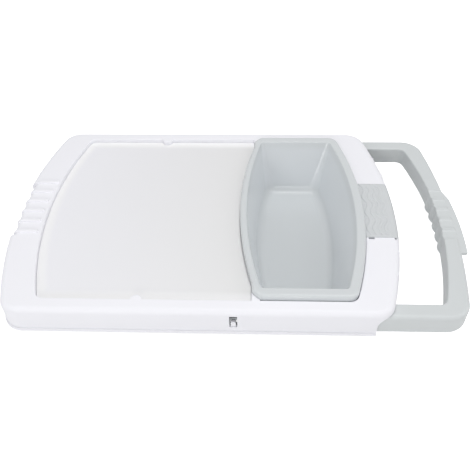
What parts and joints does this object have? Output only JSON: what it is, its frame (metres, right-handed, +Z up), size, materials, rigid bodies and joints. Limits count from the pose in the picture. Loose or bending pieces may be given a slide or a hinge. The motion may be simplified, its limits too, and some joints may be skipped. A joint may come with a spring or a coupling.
{
  "type": "over-sink cutting board",
  "caption": "Over-sink cutting board: a white frame holding a translucent lift-out board and a deep grey lift-out basin, with a pull-out U-shaped handle.",
  "frame": {"origin": "under the middle of the whole object with the handle pulled out, at the level of the basin's underside", "axes": "+X along the length towards the pull-out handle, +Y from the front to the rear, +Z up out of the board"},
  "size_m": [0.5045, 0.3036, 0.0636],
  "materials": {
    "white_moulding": "satin white moulded plastic",
    "white_bracket": "plain moulded plastic",
    "milky_board": "milky translucent, fine texture",
    "grey_basin": "glossy light grey",
    "grey_handle": "satin light grey",
    "soft_grip": "soft matt light grey",
    "rest_rubber": "matt grey rubber",
    "screw_steel": "zinc-plated steel"
  },
  "bodies": {
    "frame": {"deck_frame": "white_moulding", "grip_pad": "soft_grip", "front_inner_bracket": "white_bracket", "front_inner_screws": "screw_steel", "front_outer_bracket": "white_bracket", "front_outer_screws": "screw_steel", "rear_inner_bracket": "white_bracket", "rear_inner_screws": "screw_steel", "rear_outer_bracket": "white_bracket", "rear_outer_screws": "screw_steel", "front_left_rest_pad": "rest_rubber", "rear_left_rest_pad": "rest_rubber"},
    "handle": {"handle_frame": "grey_handle", "handle_cover": "grey_handle", "front_handle_rest_pad": "rest_rubber", "rear_handle_rest_pad": "rest_rubber"},
    "board": {"cutting_board": "milky_board"},
    "basin": {"basin_tray": "grey_basin"},
    "front_catch": {"front_catch": "white_moulding"},
    "rear_catch": {"rear_catch": "white_moulding"}
  },
  "joints": [
    {"name": "handle_slide", "type": "slide", "parent": "frame", "child": "handle", "axis": [1, 0, 0], "range_m": [-0.073, 0]},
    {"name": "board_lift", "type": "slide", "parent": "frame", "child": "board", "axis": [0, 0, 1], "range_m": [0, 0.12]},
    {"name": "basin_lift", "type": "slide", "parent": "frame", "child": "basin", "axis": [0, 0, 1], "range_m": [0, 0.12]},
    {"name": "front_catch_flex", "type": "hinge", "parent": "frame", "child": "front_catch", "pos_m": [0.00154, -0.14895, 0.03805], "axis": [1, 0, 0], "range_deg": [0, 16], "stiffness_Nm_per_rad": 0.1},
    {"name": "rear_catch_flex", "type": "hinge", "parent": "frame", "child": "rear_catch", "pos_m": [0.00154, 0.14895, 0.03805], "axis": [-1, 0, 0], "range_deg": [0, 16], "stiffness_Nm_per_rad": 0.1}
  ]
}
